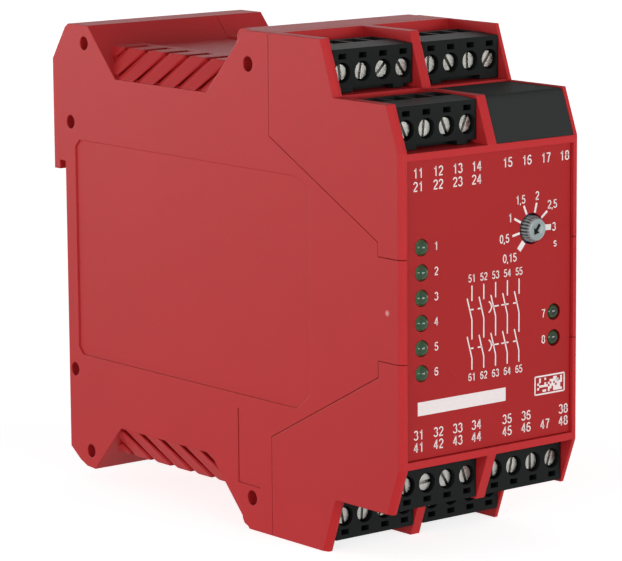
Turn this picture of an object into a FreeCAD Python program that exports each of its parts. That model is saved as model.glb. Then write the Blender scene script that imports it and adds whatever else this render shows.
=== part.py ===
import FreeCAD, Part
import math
import os

# Safety relay in a 45 mm wide DIN rail housing.
# Frame: +X across the width, the label faces -Y, +Z up.
# Origin: centre of the plane that seats on the 35 mm rail, mid width.

os.makedirs("parts", exist_ok=True)

# ---- overall sizes, mm
WIDTH = 45.0
HEIGHT = 99.0
FRONT = -107.85           # front rim plane of the frame
LABEL_RECESS = 0.8        # label plate sits this far behind the rim
KNOB_STAND = 1.8          # knob stands proud of the label plate
HALF = WIDTH / 2
TOP = HEIGHT / 2

# ---- moulding sizes
SIDE = 1.6                # side wall and outer fin thickness
CENTRE_FIN = 2.2
WALL = 1.5                # floors, step walls
EDGE = 0.8                # chamfer along the front and sloped edges of the side fins
CREST = 0.15              # smaller break along their top edges
SEAM = 0.12               # gap at the seam between front and base housings
FIT = 0.1                 # gap round pieces that drop into place

# ---- stepped profile of the front housing (y, z), upper half
SEAM_Y = -68.85
REAR_FIN_TIP = -85.3
REAR_FIN_FOOT = -89.15
FRONT_FIN_TIP = -104.5
REAR_TIER = 10.6          # top down to the floor of the rear tier of plugs
FRONT_TIER = 9.15         # that floor down to the floor of the front tier
FIN_SINK = 0.15           # the front fins end this far below the rear floor
RIM_STAND = 0.05          # the rim stands this far above the front floor
FLOOR_2 = TOP - REAR_TIER
FLOOR_1 = FLOOR_2 - FRONT_TIER
FRONT_FIN_TOP = FLOOR_2 - FIN_SINK
RIM_TOP = FLOOR_1 + RIM_STAND
STEP_Y = -88.55           # wall behind the front tier
BACK_Y = -71.1            # wall behind the rear tier

# ---- tongue of the base housing let into the sides of the front housing
TONGUE_Z = 29.5
TONGUE_Y = -101.25
TONGUE_TIP_Z = 12.8
TAB_TOP = 10.1
TAB_BOTTOM = -9.6

# ---- base housing profile
VALLEY_DEPTH = 13.25      # top down to the valley edge
LUG_DROP = 3.0            # top down to the top of the rear lugs
VALLEY_Z = TOP - VALLEY_DEPTH
LUG_TOP = TOP - LUG_DROP
SHOULDER_Y = -61.5
VALLEY_FRONT = -48.9
VALLEY_REAR = -18.2
LUG_Y = -8.75
RIGHT_SHELL_W = 11.9
PART_X = HALF - RIGHT_SHELL_W         # parting plane between the two base shells

# ---- rail fit: 35 mm top hat rail, lips 1 mm thick
RAIL_HALF = 17.5
RAIL_PLAY = 0.25
HOOK_SLOT = 2.05
HOOK_LIP = 1.95
HOOK_DROP = 1.6

# ---- vents: a hip over each valley, with steep louvred sides and a flat crown
VENT_RISE = 6.25          # crown above the valley edge
VENT_RUN = 3.4            # lean of the steep side
VENT_RAKE = 6.4           # the louvres lean forward this far on their way up
VENT_PITCH = 6.95
VENT_FIRST = -10.0
VENT_SLOT = 1.7
VENT_COUNT = 6
VENT_LENGTH = 9.2         # slots end this far in from the side
RIDGE_W = 2.4
VENT_END_X = HALF - VENT_LENGTH
RIDGE_X = VENT_END_X - RIDGE_W
LOBE = 0.65               # the rear edge of each slat lies this far below its front edge

# ---- plugs
POLES = 4
BAY = HALF - SIDE - CENTRE_FIN / 2
BAY_X = CENTRE_FIN / 2 + BAY / 2
PLUG_PLAY = 0.2
POLE_PITCH = (BAY + PLUG_PLAY) / POLES
PLUG_W = BAY - 2 * PLUG_PLAY
PLUG_L = 14.0
PLUG_H0 = 8.25
PLUG_H1 = 8.6
PLUG_LIFT = 0.15
PLUG_FACE_1 = -104.7
PLUG_FACE_2 = -86.3
SCREW_W = 3.75
BORE_R = 1.95
HEAD_R = 1.6
PIN = 1.0
PIN_W = 2.2

# ---- front board, knob and lights
BOARD = 1.6
BOARD_SETBACK = 5.65      # front board behind the face of the label plate
FRONT_BOARD_Y = FRONT + LABEL_RECESS + BOARD_SETBACK
LED_R = 1.5
LED_INSET = 4.1           # from the end of the label plate
LED_X = -HALF + SIDE + LED_INSET
LED_TOP_Z = 11.9
LED_PITCH = 4.76
LED_COUNT = 6
LED2_INSET = 4.3
LED2_X = HALF - SIDE - LED2_INSET
LED2_Z = (-4.15, -9.2)
KNOB_INSET = 10.15
KNOB_X = HALF - SIDE - KNOB_INSET
KNOB_Z = 12.6
KNOB_R = 2.7
KNOB_RIBS = 22
PLATE_FRONT = FRONT + LABEL_RECESS
PLATE_T = 1.2
PLATE_RIM = 1.5           # rim above and below the label plate
PLATE_HALF_Z = RIM_TOP - PLATE_RIM

# ---- rail catch
CATCH_W = 12.0
CATCH_FLANGE_W = 16.0
CATCH_FLANGE_T = 2.0
CATCH_PLAY = 0.15
CATCH_SHORT = 1.1         # the catch ends this far above the lower lug
CATCH_END = -LUG_TOP + CATCH_SHORT


def box(x0, x1, y0, y1, z0, z1):
    """Block between six planes."""
    lo = FreeCAD.Vector(min(x0, x1), min(y0, y1), min(z0, z1))
    return Part.makeBox(abs(x1 - x0), abs(y1 - y0), abs(z1 - z0), lo)


def wire_yz(points, x):
    """Closed wire through (y, z) points in the plane at x."""
    pts = [FreeCAD.Vector(x, p[0], p[1]) for p in points]
    return Part.makePolygon(pts + [pts[0]])


def prism(points, x0, x1):
    """Side profile carried across the width."""
    face = Part.Face(wire_yz(points, x0))
    return face.extrude(FreeCAD.Vector(x1 - x0, 0, 0))


def drum(radius, length, x, y, z, axis):
    """Round bar from a start point along an axis."""
    return Part.makeCylinder(radius, length, FreeCAD.Vector(x, y, z), FreeCAD.Vector(*axis))


def flip_x(shape):
    return shape.mirror(FreeCAD.Vector(0, 0, 0), FreeCAD.Vector(1, 0, 0))


def flip_z(shape):
    return shape.mirror(FreeCAD.Vector(0, 0, 0), FreeCAD.Vector(0, 0, 1))


def inset(points, steps):
    """Move each edge of a profile inward by its own step."""
    count = len(points)
    area = sum(points[i - 1][0] * points[i][1] - points[i][0] * points[i - 1][1] for i in range(count))
    turn = 1.0 if area > 0 else -1.0
    lines = []
    for i in range(count):
        a = points[i]
        b = points[(i + 1) % count]
        length = math.hypot(b[0] - a[0], b[1] - a[1])
        ux = (b[0] - a[0]) / length
        uy = (b[1] - a[1]) / length
        nx = -uy * turn
        ny = ux * turn
        lines.append((a[0] + nx * steps[i], a[1] + ny * steps[i], ux, uy))
    out = []
    for i in range(count):
        p = lines[i - 1]
        q = lines[i]
        cross = p[2] * q[3] - p[3] * q[2]
        t = ((q[0] - p[0]) * q[3] - (q[1] - p[1]) * q[2]) / cross
        out.append((p[0] + t * p[2], p[1] + t * p[3]))
    return out


def both_halves(upper):
    """Full profile from its upper half by mirroring in z."""
    return upper + [(y, -z) for y, z in reversed(upper)]


def fuse(shapes):
    out = shapes[0]
    if len(shapes) > 1:
        out = out.fuse(shapes[1:])
    return out.removeSplitter()


def cut(shape, tools):
    return shape.cut(Part.makeCompound(tools)).removeSplitter()


def save(name, shapes):
    """One node: a solid, or a group of separate identical solids."""
    solids = []
    for shape in shapes:
        solids.extend(shape.Solids)
    body = solids[0] if len(solids) == 1 else Part.makeCompound(solids)
    body.exportStep("parts/" + name + ".step")


# ---- front housing: stepped tiers, fins, rim and floors in one moulding
front_half = [
    (SEAM_Y, TOP),
    (REAR_FIN_TIP, TOP),
    (REAR_FIN_FOOT, FRONT_FIN_TOP),
    (FRONT_FIN_TIP, FRONT_FIN_TOP),
    (FRONT, RIM_TOP),
]
front_outline = both_halves(front_half)
edge_steps = [CREST, EDGE, CREST, EDGE, EDGE, EDGE, CREST, EDGE, CREST, 0.0]
edge_outline = inset(front_outline, edge_steps)
core_half = HALF - EDGE
front_core = prism(front_outline, -core_half, core_half)
edge_slab = Part.makeLoft(
    [wire_yz(front_outline, -core_half), wire_yz(edge_outline, -HALF)], True, True)
front_solid = fuse([front_core, edge_slab, flip_x(edge_slab)])

tongue = [
    (SEAM_Y, TONGUE_Z),
    (TONGUE_Y, TONGUE_TIP_Z),
    (TONGUE_Y, TAB_TOP),
    (FRONT - 1, TAB_TOP),
    (FRONT - 1, TAB_BOTTOM),
    (TONGUE_Y, TAB_BOTTOM),
    (TONGUE_Y, -TONGUE_TIP_Z),
    (SEAM_Y, -TONGUE_Z),
]
tongue_gap = inset(tongue, [-SEAM / 2] * 7 + [-1.0])
tongue_own = inset(tongue, [SEAM / 2] * 7 + [-2.0])

bay_in = CENTRE_FIN / 2
bay_out = HALF - SIDE
room_half = HALF - SIDE
front_cuts = []
for side in (-1, 1):
    x0 = side * bay_in
    x1 = side * bay_out
    for up in (-1, 1):
        front_cuts.append(box(x0, x1, FRONT - 5, STEP_Y, up * FLOOR_1, up * (TOP + 5)))
        front_cuts.append(box(x0, x1, FRONT - 5, BACK_Y, up * FLOOR_2, up * (TOP + 5)))
        header_x0 = side * (BAY_X - PLUG_W / 2 + 0.4)
        header_x1 = side * (BAY_X + PLUG_W / 2 - 0.4)
        for floor, wall in ((FLOOR_1, STEP_Y), (FLOOR_2, BACK_Y)):
            if side > 0 and up > 0 and floor == FLOOR_1:
                continue
            z0 = up * (floor + 0.8)
            z1 = up * (floor + 7.2)
            front_cuts.append(box(header_x0, header_x1, wall - 1, wall + 4, z0, z1))
LEDGE = 1.2
plate_back = PLATE_FRONT + PLATE_T
ledge_back = plate_back + 1.0
room_1 = FLOOR_1 - WALL
room_2 = FLOOR_2 - WALL
room_3 = TOP - WALL
front_cuts.append(box(-room_half, room_half, FRONT - 1, plate_back, -PLATE_HALF_Z, PLATE_HALF_Z))
front_cuts.append(box(-room_half + LEDGE, room_half - LEDGE, plate_back - 1, ledge_back + 1,
                      -PLATE_HALF_Z + LEDGE, PLATE_HALF_Z - LEDGE))
front_cuts.append(box(-room_half, room_half, ledge_back, SEAM_Y + 1, -room_1, room_1))
front_cuts.append(box(-room_half, room_half, STEP_Y + WALL, SEAM_Y + 1, -room_2, room_2))
front_cuts.append(box(-room_half, room_half, BACK_Y + WALL, SEAM_Y + 1, -room_3, room_3))
for side in (-1, 1):
    front_cuts.append(prism(tongue_gap, side * (room_half - 0.01), side * (HALF + 1)))
front_housing = cut(front_solid, front_cuts)
save("front_housing", [front_housing])

# ---- base housing: hollow body with rail hook, valleys with louvred roofs, side tongues
base_outline = [
    (SEAM_Y + SEAM, TOP),
    (SHOULDER_Y, TOP),
    (VALLEY_FRONT, VALLEY_Z),
    (VALLEY_REAR, VALLEY_Z),
    (LUG_Y, LUG_TOP),
    (-1.8, LUG_TOP),
    (-0.6, LUG_TOP - 0.8),
    (HOOK_SLOT + HOOK_LIP, LUG_TOP - 7.6),
    (HOOK_SLOT + HOOK_LIP, RAIL_HALF - HOOK_DROP),
    (HOOK_SLOT, RAIL_HALF - HOOK_DROP),
    (HOOK_SLOT, RAIL_HALF + RAIL_PLAY),
    (0.0, RAIL_HALF + RAIL_PLAY),
    (0.0, -LUG_TOP + 3.6),
    (-3.4, -LUG_TOP + 1.2),
    (-5.8, -LUG_TOP + 0.2),
    (LUG_Y, -LUG_TOP),
    (VALLEY_REAR, -VALLEY_Z),
    (VALLEY_FRONT, -VALLEY_Z),
    (SHOULDER_Y, -TOP),
    (SEAM_Y + SEAM, -TOP),
]
cavity = [
    (SEAM_Y - 1, TOP - WALL),
    (SHOULDER_Y - 0.7, TOP - WALL),
    (VALLEY_FRONT - 0.7, VALLEY_Z - WALL),
    (VALLEY_REAR + 0.2, VALLEY_Z - WALL),
    (LUG_Y + 0.45, LUG_TOP - WALL),
    (-2.6, LUG_TOP - WALL),
    (2.2, LUG_TOP - 8.5),
    (2.2, RAIL_HALF + 2.5),
    (-2.0, RAIL_HALF + 2.5),
    (-2.0, -LUG_TOP + 4.7),
    (-4.3, -LUG_TOP + 2.9),
    (LUG_Y + 0.45, -LUG_TOP + WALL),
    (VALLEY_REAR + 0.2, -VALLEY_Z + WALL),
    (VALLEY_FRONT - 0.7, -VALLEY_Z + WALL),
    (SHOULDER_Y - 0.7, -TOP + WALL),
    (SEAM_Y - 1, -TOP + WALL),
]
# the body between the side plates stands behind their sloped cut, with a round corner
nose = [
    (SHOULDER_Y + 8.9, TOP - 7.4),
    (SHOULDER_Y + 5.0, TOP - 3.3),
    (SHOULDER_Y + 4.5, TOP - 2.4),
    (SHOULDER_Y + 4.4, TOP - 1.4),
    (SHOULDER_Y + 3.9, TOP - 0.5),
    (SHOULDER_Y + 3.1, TOP - 0.1),
    (SHOULDER_Y + 2.1, TOP),
    (SHOULDER_Y - 0.4, TOP),
    (SHOULDER_Y - 0.4, TOP - 7.4),
]
room_in = HALF - SIDE
base_core = prism(base_outline, -core_half, core_half)
base_steps = [CREST] + [0.0] * (len(base_outline) - 3) + [CREST, 0.0]
base_edge_outline = inset(base_outline, base_steps)
base_edge = Part.makeLoft(
    [wire_yz(base_outline, -core_half), wire_yz(base_edge_outline, -HALF)], True, True)
nose_body = prism(nose, -room_in, room_in)

HIP_FRONT = VALLEY_FRONT - 7.1
HIP_REAR = VALLEY_REAR + 7.2
side_length = math.hypot(VENT_RISE, VENT_RUN)
foot_shift = side_length / VENT_RISE
kink_shift = (side_length - VENT_RUN) / VENT_RISE
CROWN_Z = VALLEY_Z + VENT_RISE


def front_slope(z):
    """Valley slope below the front shoulder."""
    return VALLEY_FRONT + (SHOULDER_Y - VALLEY_FRONT) * (z - VALLEY_Z) / (TOP - VALLEY_Z)


def rear_slope(z):
    """Valley slope of the rear lug."""
    return VALLEY_REAR + (LUG_Y - VALLEY_REAR) * (z - VALLEY_Z) / (LUG_TOP - VALLEY_Z)


def valley_zone(z0, z1, reach):
    """Space between the two slopes of a valley, reaching into their walls."""
    profile = [
        (front_slope(z0) - reach, z0),
        (front_slope(z1) - reach, z1),
        (rear_slope(z1) + reach, z1),
        (rear_slope(z0) + reach, z0),
    ]
    return prism(profile, -HALF - 2, HALF + 2)


def slab_y(section, y0, y1):
    """Cross section (x, z) carried along the depth."""
    pts = [FreeCAD.Vector(x, y0, z) for x, z in section]
    face = Part.Face(Part.makePolygon(pts + [pts[0]]))
    return face.extrude(FreeCAD.Vector(0, y1 - y0, 0))


def hip(sink, drop):
    """Hip with its steep sides and crown sunk by an equal depth."""
    foot = HALF - sink * foot_shift
    kink = HALF - VENT_RUN - sink * kink_shift
    section = [
        (-foot, VALLEY_Z - drop),
        (-foot, VALLEY_Z),
        (-kink, CROWN_Z - sink),
        (kink, CROWN_Z - sink),
        (foot, VALLEY_Z),
        (foot, VALLEY_Z - drop),
    ]
    return slab_y(section, HIP_FRONT, HIP_REAR)


roof_out = hip(LOBE, 0.6)
roof_in = hip(LOBE + WALL, 2.1)

# slats: each rises towards its front edge, then drops into the next raked slot
slats = []
for i in range(-1, VENT_COUNT):
    y_rear = VENT_FIRST - i * VENT_PITCH - VENT_SLOT / 2
    span = VENT_SLOT - VENT_PITCH
    profile = [
        (y_rear, LOBE + 0.7),
        (y_rear, LOBE),
        (y_rear + 0.2 * span, 0.3 * LOBE),
        (y_rear + 0.4 * span, 0.0),
        (y_rear + span, 0.0),
        (y_rear + span, LOBE + 0.7),
    ]
    foot = []
    head = []
    for y, sink in profile:
        foot.append(FreeCAD.Vector(-HALF + 0.05 + sink * foot_shift, y, VALLEY_Z - 0.2))
        head.append(FreeCAD.Vector(-HALF + VENT_RUN + sink * kink_shift, y - VENT_RAKE, CROWN_Z - sink))
    head_wire = Part.makePolygon(head + [head[0]])
    slats.append(Part.makeLoft([Part.makePolygon(foot + [foot[0]]), head_wire], True, True))
    slats.append(Part.Face(head_wire).extrude(FreeCAD.Vector(HALF - VENT_RUN - VENT_END_X, 0, 0)))
ridge = [
    (-VENT_END_X - 0.3, CROWN_Z - 1.4),
    (-VENT_END_X - 0.3, CROWN_Z),
    (-RIDGE_X - 0.5, CROWN_Z),
    (-RIDGE_X - 0.15, CROWN_Z - 0.12),
    (-RIDGE_X, CROWN_Z - 0.4),
    (-RIDGE_X, CROWN_Z - 1.4),
]
slats.append(slab_y(ridge, HIP_FRONT, HIP_REAR))
bank_zone = valley_zone(VALLEY_Z - 1.0, CROWN_Z + 1.0, 1.0)
slat_bank = fuse(slats).common(bank_zone)
roof_out = roof_out.common(bank_zone)

slot_low = VALLEY_Z + 0.3
slot_high = CROWN_Z + 1.0
lean = VENT_RAKE / VENT_RISE
slots = []
for i in range(VENT_COUNT):
    y = VENT_FIRST - i * VENT_PITCH
    y_low = y - lean * (slot_low - VALLEY_Z)
    y_high = y - lean * (slot_high - VALLEY_Z)
    profile = [
        (y_low + VENT_SLOT / 2, slot_low),
        (y_low - VENT_SLOT / 2, slot_low),
        (y_high - VENT_SLOT / 2, slot_high),
        (y_high + VENT_SLOT / 2, slot_high),
    ]
    slots.append(prism(profile, -HALF - 1, -VENT_END_X))
slot_zone = valley_zone(slot_low - 0.1, slot_high + 0.1, -0.3)
slot_bank = Part.makeCompound(slots).common(slot_zone)

PINS = (
    (SHOULDER_Y - 0.9, TOP - 6.6, 1.5),
    (LUG_Y + 1.35, LUG_TOP - 3.7, 1.4),
    (-2.1, RAIL_HALF + 8.6, 1.4),
)
base_adds = [base_core, base_edge, flip_x(base_edge), nose_body, flip_z(nose_body)]
for up in (False, True):
    for piece in (roof_out, slat_bank, flip_x(slat_bank)):
        base_adds.append(flip_z(piece) if up else piece)
tongue_blank = front_solid.fuse(box(-HALF, HALF, SEAM_Y - 0.5, SEAM_Y + 1.5, -TONGUE_Z, TONGUE_Z))
side_slab = tongue_blank.common(prism(tongue_own, -HALF, -room_half - 0.05))
base_solid = fuse(base_adds)

base_cuts = [prism(cavity, -room_in, room_in)]
for up in (False, True):
    for piece in (roof_in, slot_bank, flip_x(slot_bank)):
        base_cuts.append(flip_z(piece) if up else piece)
base_hollow = base_solid.cut(Part.makeCompound(base_cuts))

# rail catch guide inside the rear wall, and bosses round the assembly pin holes
GUIDE_TOP = -RAIL_HALF - 0.3
guide = box(-10.0, 10.0, -5.8, -1.5, -LUG_TOP + 1.0, GUIDE_TOP + 1.5)
guide = guide.common(base_core)
fills = [base_hollow, guide, side_slab, flip_x(side_slab)]
for y, z, r in PINS:
    for up in (-1, 1):
        boss = drum(r + 1.25, WIDTH, -HALF, y, up * z, (1, 0, 0))
        fills.append(boss.common(base_core))
base_full = fuse(fills)

channel_w = CATCH_W + 2 * CATCH_PLAY
flange_w = CATCH_FLANGE_W + 2 * CATCH_PLAY
flange_front = -4.2
flange_rear = flange_front + CATCH_FLANGE_T + 2 * CATCH_PLAY
RIB_T = 1.5
SPRING_ROOM = 8.0
WINDOW_TOP = -RAIL_HALF - 12.5
RIB_TOP = WINDOW_TOP - SPRING_ROOM
WINDOW_LOW = RIB_TOP - 3.4
late_cuts = [
    box(-flange_w / 2, flange_w / 2, flange_front, flange_rear, -60, GUIDE_TOP),
    box(-channel_w / 2, channel_w / 2, flange_front, 1, -60, -RAIL_HALF + 1.0),
]
for y, z, r in PINS:
    for up in (-1, 1):
        late_cuts.append(drum(r, 9.0, -HALF - 0.1, y, up * z, (1, 0, 0)))
        late_cuts.append(drum(r, 6.0, HALF + 0.1, y, up * z, (-1, 0, 0)))

PANEL_DEPTH = 0.3
panel = [
    (-76.4, 22.6),
    (-80.7, 20.7),
    (-80.7, -19.5),
    (-76.8, -22.6),
    (-5.1, -22.6),
    (-3.6, -21.1),
    (-3.6, 21.1),
    (-5.1, 22.6),
]
for side in (-1, 1):
    late_cuts.append(prism(panel, side * (HALF - PANEL_DEPTH), side * (HALF + 1)))
    groove_x0 = side * (HALF - 0.25)
    groove_x1 = side * (HALF + 1)
    late_cuts.append(box(groove_x0, groove_x1, -58.35, -58.0, -40.5, -25.5))
    late_cuts.append(box(groove_x0, groove_x1, -65.0, -58.2, -40.5, -40.15))
base_full = cut(base_full, late_cuts)

big = 200.0
left_shell = base_full.common(box(-big, PART_X - SEAM / 2, -big, big, -big, big))
right_shell = base_full.common(box(PART_X + SEAM / 2, big, -big, big, -big, big))
spring_rib = box(-2.2, 2.2, flange_front - 0.5, -2.2, RIB_TOP - RIB_T, RIB_TOP)
left_shell = left_shell.fuse(spring_rib).removeSplitter()
save("base_housing_left_shell", [left_shell])
save("base_housing_right_shell", [right_shell])

# ---- sprung rail catch: flanged slide with a hook under the rail
catch_flange = box(-CATCH_FLANGE_W / 2, CATCH_FLANGE_W / 2, flange_front + CATCH_PLAY,
                   flange_rear - CATCH_PLAY, CATCH_END, -RAIL_HALF - 0.5)
catch_stem = box(-CATCH_W / 2, CATCH_W / 2, flange_front + CATCH_PLAY, 0.0, CATCH_END + 1.5,
                 -RAIL_HALF - 0.5)
catch_hook = [
    (-1.0, -RAIL_HALF - RAIL_PLAY),
    (HOOK_SLOT, -RAIL_HALF - RAIL_PLAY),
    (HOOK_SLOT, -RAIL_HALF + 1.2),
    (HOOK_SLOT + 0.7, -RAIL_HALF + 1.2),
    (HOOK_SLOT + HOOK_LIP, -RAIL_HALF - 1.6),
    (HOOK_SLOT + HOOK_LIP, -RAIL_HALF - 3.4),
    (-1.0, -RAIL_HALF - 6.0),
]
catch = fuse([catch_flange, catch_stem, prism(catch_hook, -CATCH_W / 2, CATCH_W / 2)])
pry_slot = box(-2.6, 2.6, -3.2, -1.4, CATCH_END - 1, CATCH_END + 2.4)
window = box(-4.4, 4.4, -5.0, -1.8, WINDOW_LOW, WINDOW_TOP)
catch = cut(catch, [pry_slot, window])
save("rail_catch", [catch])

# folded strip spring between the rib of the housing and the window of the catch
SPRING_T = 0.4
SPRING_W = 1.4
SPRING_BARS = 5
spring_y = -3.7
reach = 3.6
step = (WINDOW_TOP - RIB_TOP - SPRING_T) / (SPRING_BARS - 1)
strips = []
for i in range(SPRING_BARS):
    z = RIB_TOP + i * step
    strips.append(box(-reach, reach, spring_y, spring_y + SPRING_W, z, z + SPRING_T))
    if i < SPRING_BARS - 1:
        x = reach if i % 2 else -reach
        link = math.copysign(reach - SPRING_T, x)
        strips.append(box(link, x, spring_y, spring_y + SPRING_W, z, z + step))
spring = fuse(strips)
save("rail_catch_spring", [spring])

# ---- label plate with windows for the lights and the knob
plate = box(-room_half + FIT, room_half - FIT, PLATE_FRONT, plate_back, -PLATE_HALF_Z + FIT,
            PLATE_HALF_Z - FIT)
led_spots = [(LED_X, LED_TOP_Z - i * LED_PITCH) for i in range(LED_COUNT)]
led2_spots = [(LED2_X, z) for z in LED2_Z]
plate_cuts = []
for x, z in led_spots + led2_spots:
    plate_cuts.append(drum(LED_R + 0.12, 10, x, PLATE_FRONT - 1, z, (0, 1, 0)))
plate_cuts.append(drum(KNOB_R + 0.3, 10, KNOB_X, PLATE_FRONT - 1, KNOB_Z, (0, 1, 0)))
save("label_plate", [cut(plate, plate_cuts)])


def lamp(x, z, stand):
    """Domed lamp on the front board, its dome standing out of the label plate."""
    length = FRONT_BOARD_Y - (PLATE_FRONT - stand)
    y_tip = PLATE_FRONT - stand
    half = [
        FreeCAD.Vector(x, y_tip, z),
        FreeCAD.Vector(x + 0.75, y_tip + 0.2, z),
        FreeCAD.Vector(x + 1.25, y_tip + 0.7, z),
        FreeCAD.Vector(x + LED_R, y_tip + 1.5, z),
        FreeCAD.Vector(x + LED_R, y_tip + length - 1.0, z),
        FreeCAD.Vector(x + LED_R + 0.4, y_tip + length - 1.0, z),
        FreeCAD.Vector(x + LED_R + 0.4, y_tip + length, z),
        FreeCAD.Vector(x, y_tip + length, z),
    ]
    face = Part.Face(Part.makePolygon(half + [half[0]]))
    return face.revolve(FreeCAD.Vector(x, 0, z), FreeCAD.Vector(0, 1, 0), 360)


save("left_status_lights", [lamp(x, z, 1.1) for x, z in led_spots])
save("right_status_lights", [lamp(x, z, 0.5) for x, z in led2_spots])

# ---- time setting: potentiometer on the front board and its ribbed knob
POT = 9.0
POT_DEPTH = 3.2
POT_FRONT = FRONT_BOARD_Y - POT_DEPTH
pot = box(KNOB_X - POT / 2, KNOB_X + POT / 2, POT_FRONT, FRONT_BOARD_Y, KNOB_Z - POT / 2,
          KNOB_Z + POT / 2)
pot = cut(pot, [drum(1.36, 2.4, KNOB_X, POT_FRONT - 0.1, KNOB_Z, (0, 1, 0))])
save("time_potentiometer", [pot])

knob_front = PLATE_FRONT - KNOB_STAND
rib_pts = []
for i in range(KNOB_RIBS):
    base = 2 * math.pi * i / KNOB_RIBS
    for turn, radius in ((0.0, KNOB_R), (0.4, KNOB_R), (0.55, KNOB_R - 0.28), (0.85, KNOB_R - 0.28)):
        angle = base + turn * 2 * math.pi / KNOB_RIBS
        rib_pts.append(FreeCAD.Vector(KNOB_X + radius * math.cos(angle), knob_front + 0.45,
                                      KNOB_Z + radius * math.sin(angle)))
ribbed = Part.Face(Part.makePolygon(rib_pts + [rib_pts[0]]))
ribbed = ribbed.extrude(FreeCAD.Vector(0, POT_FRONT - 0.35 - knob_front - 0.45, 0))
cap = Part.makeCone(KNOB_R - 0.5, KNOB_R - 0.1, 0.6, FreeCAD.Vector(KNOB_X, knob_front, KNOB_Z),
                    FreeCAD.Vector(0, 1, 0))
stub = drum(1.3, 2.4, KNOB_X, POT_FRONT - 0.5, KNOB_Z, (0, 1, 0))
knob = fuse([ribbed, cap, stub])
ARROW_DEPTH = 0.9
ARROW_TURN = 220.5
arrow = [
    (0.0, 1.75),
    (1.1, 0.15),
    (0.42, 0.3),
    (0.42, -1.7),
    (-0.42, -1.7),
    (-0.42, 0.3),
    (-1.1, 0.15),
]
arrow_pts = [FreeCAD.Vector(KNOB_X + x, knob_front - 0.1, KNOB_Z + z) for x, z in arrow]
arrow_cut = Part.Face(Part.makePolygon(arrow_pts + [arrow_pts[0]]))
arrow_cut = arrow_cut.extrude(FreeCAD.Vector(0, ARROW_DEPTH + 0.1, 0))
arrow_cut.rotate(FreeCAD.Vector(KNOB_X, 0, KNOB_Z), FreeCAD.Vector(0, 1, 0), ARROW_TURN)
save("time_knob", [cut(knob, [arrow_cut])])

# ---- blank cover over the unused bay, top front right
cover_in = CENTRE_FIN / 2 + FIT
cover_out = HALF - SIDE - FIT
cover_top = FRONT_FIN_TOP - 0.25
slope = (FRONT_FIN_TIP - FRONT) / (FRONT_FIN_TOP - RIM_TOP)
cover_foot = FLOOR_1 + 0.05
foot_y = FRONT + slope * (cover_foot - RIM_TOP) + 0.05
brow_y = FRONT + slope * (cover_top - RIM_TOP) + 0.05
cover_outline = [
    (foot_y, cover_foot),
    (brow_y - 0.35, cover_top - 1.0),
    (brow_y - 0.02, cover_top - 0.4),
    (brow_y + 0.45, cover_top - 0.08),
    (brow_y + 1.0, cover_top),
    (STEP_Y - 0.3, cover_top),
    (STEP_Y - 0.3, cover_foot),
]
cover_hollow = [
    (foot_y + 1.6, cover_foot - 1),
    (brow_y + 1.6, cover_top - 1.4),
    (STEP_Y - 1.7, cover_top - 1.4),
    (STEP_Y - 1.7, cover_foot - 1),
]
cover = cut(prism(cover_outline, cover_in, cover_out),
            [prism(cover_hollow, cover_in + 1.4, cover_out - 1.4)])
save("blank_cover", [cover])

# ---- pluggable terminal blocks, modelled at the top left bay, outward = +z
CAGE_X = 3.6
cage_y0 = 4.6
cage_y1 = 10.6
cage_w0 = 1.5
cage_w1 = 6.1
HEADER_L = 6.75
TAIL_START = 3.6
TAIL_STEP = 0.85
TAIL_T = 0.6
board_x0 = room_half - 0.15 - BOARD
board_x1 = room_half - 0.15
pole_xs = [(i - (POLES - 1) / 2) * POLE_PITCH for i in range(POLES)]


def funnel(x, y0, y1, w0, w1, half0, half1, trim):
    """Tapered wire entry from the outer face down to the clamp."""
    low = [(x - half0, y0 + trim), (x + half0, y0 + trim), (x + half0, y1 - trim), (x - half0, y1 - trim)]
    high = [(x - half1, y0), (x + half1, y0), (x + half1, y1), (x - half1, y1)]
    wires = []
    for ring, w in ((low, w0), (high, w1)):
        pts = [FreeCAD.Vector(a, b, w) for a, b in ring]
        wires.append(Part.makePolygon(pts + [pts[0]]))
    return Part.makeLoft(wires, True, True)


def plug_pieces():
    """Plug body, screws and clamps about their own face: x mid, y = 0 at the face, z = 0 inner edge."""
    outline = [
        (0.0, 0.0),
        (0.0, PLUG_H0),
        (5.2, PLUG_H1),
        (12.4, PLUG_H1),
        (12.4, 7.4),
        (PLUG_L, 7.4),
        (PLUG_L, 0.0),
    ]
    body = prism(outline, -PLUG_W / 2, PLUG_W / 2)
    cuts = [box(-5.0, 5.0, -1, 2.6, -1, 0.85)]
    cuts.append(box(7.4, PLUG_W / 2 + 1, -1, 1.6, -1, 0.7))
    for x in pole_xs:
        cuts.append(drum(BORE_R, 5.4, x, -1, SCREW_W, (0, 1, 0)))
        cuts.append(box(x - 0.95, x + 0.95, -1, 3.6, 6.3, 7.35))
        cuts.append(box(x - 1.95, x + 1.95, 4.3, 11.0, 1.2, 6.3))
        cuts.append(funnel(x, 6.0, 11.4, 6.2, PLUG_H1 + 0.05, 1.4, 2.1, 1.0))
        cuts.append(box(x - 0.65, x + 0.65, 10.5, PLUG_L + 1, PIN_W - 0.65, PIN_W + 0.65))
    body = cut(body, cuts)
    clamps = []
    for x in pole_xs:
        cage = box(x - CAGE_X / 2, x + CAGE_X / 2, cage_y0, cage_y1, cage_w0, cage_w1)
        cage_cuts = [
            drum(1.05, 1.6, x, cage_y0 - 0.1, SCREW_W, (0, 1, 0)),
            box(x - 1.3, x + 1.3, cage_y0 + 1.4, cage_y1 - 1.2, 3.3, cage_w1 + 1),
            box(x - 0.6, x + 0.6, 8.0, cage_y1 + 1, PIN_W - 0.6, PIN_W + 0.6),
        ]
        clamps.append(cut(cage, cage_cuts))
    return body, clamps


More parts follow.
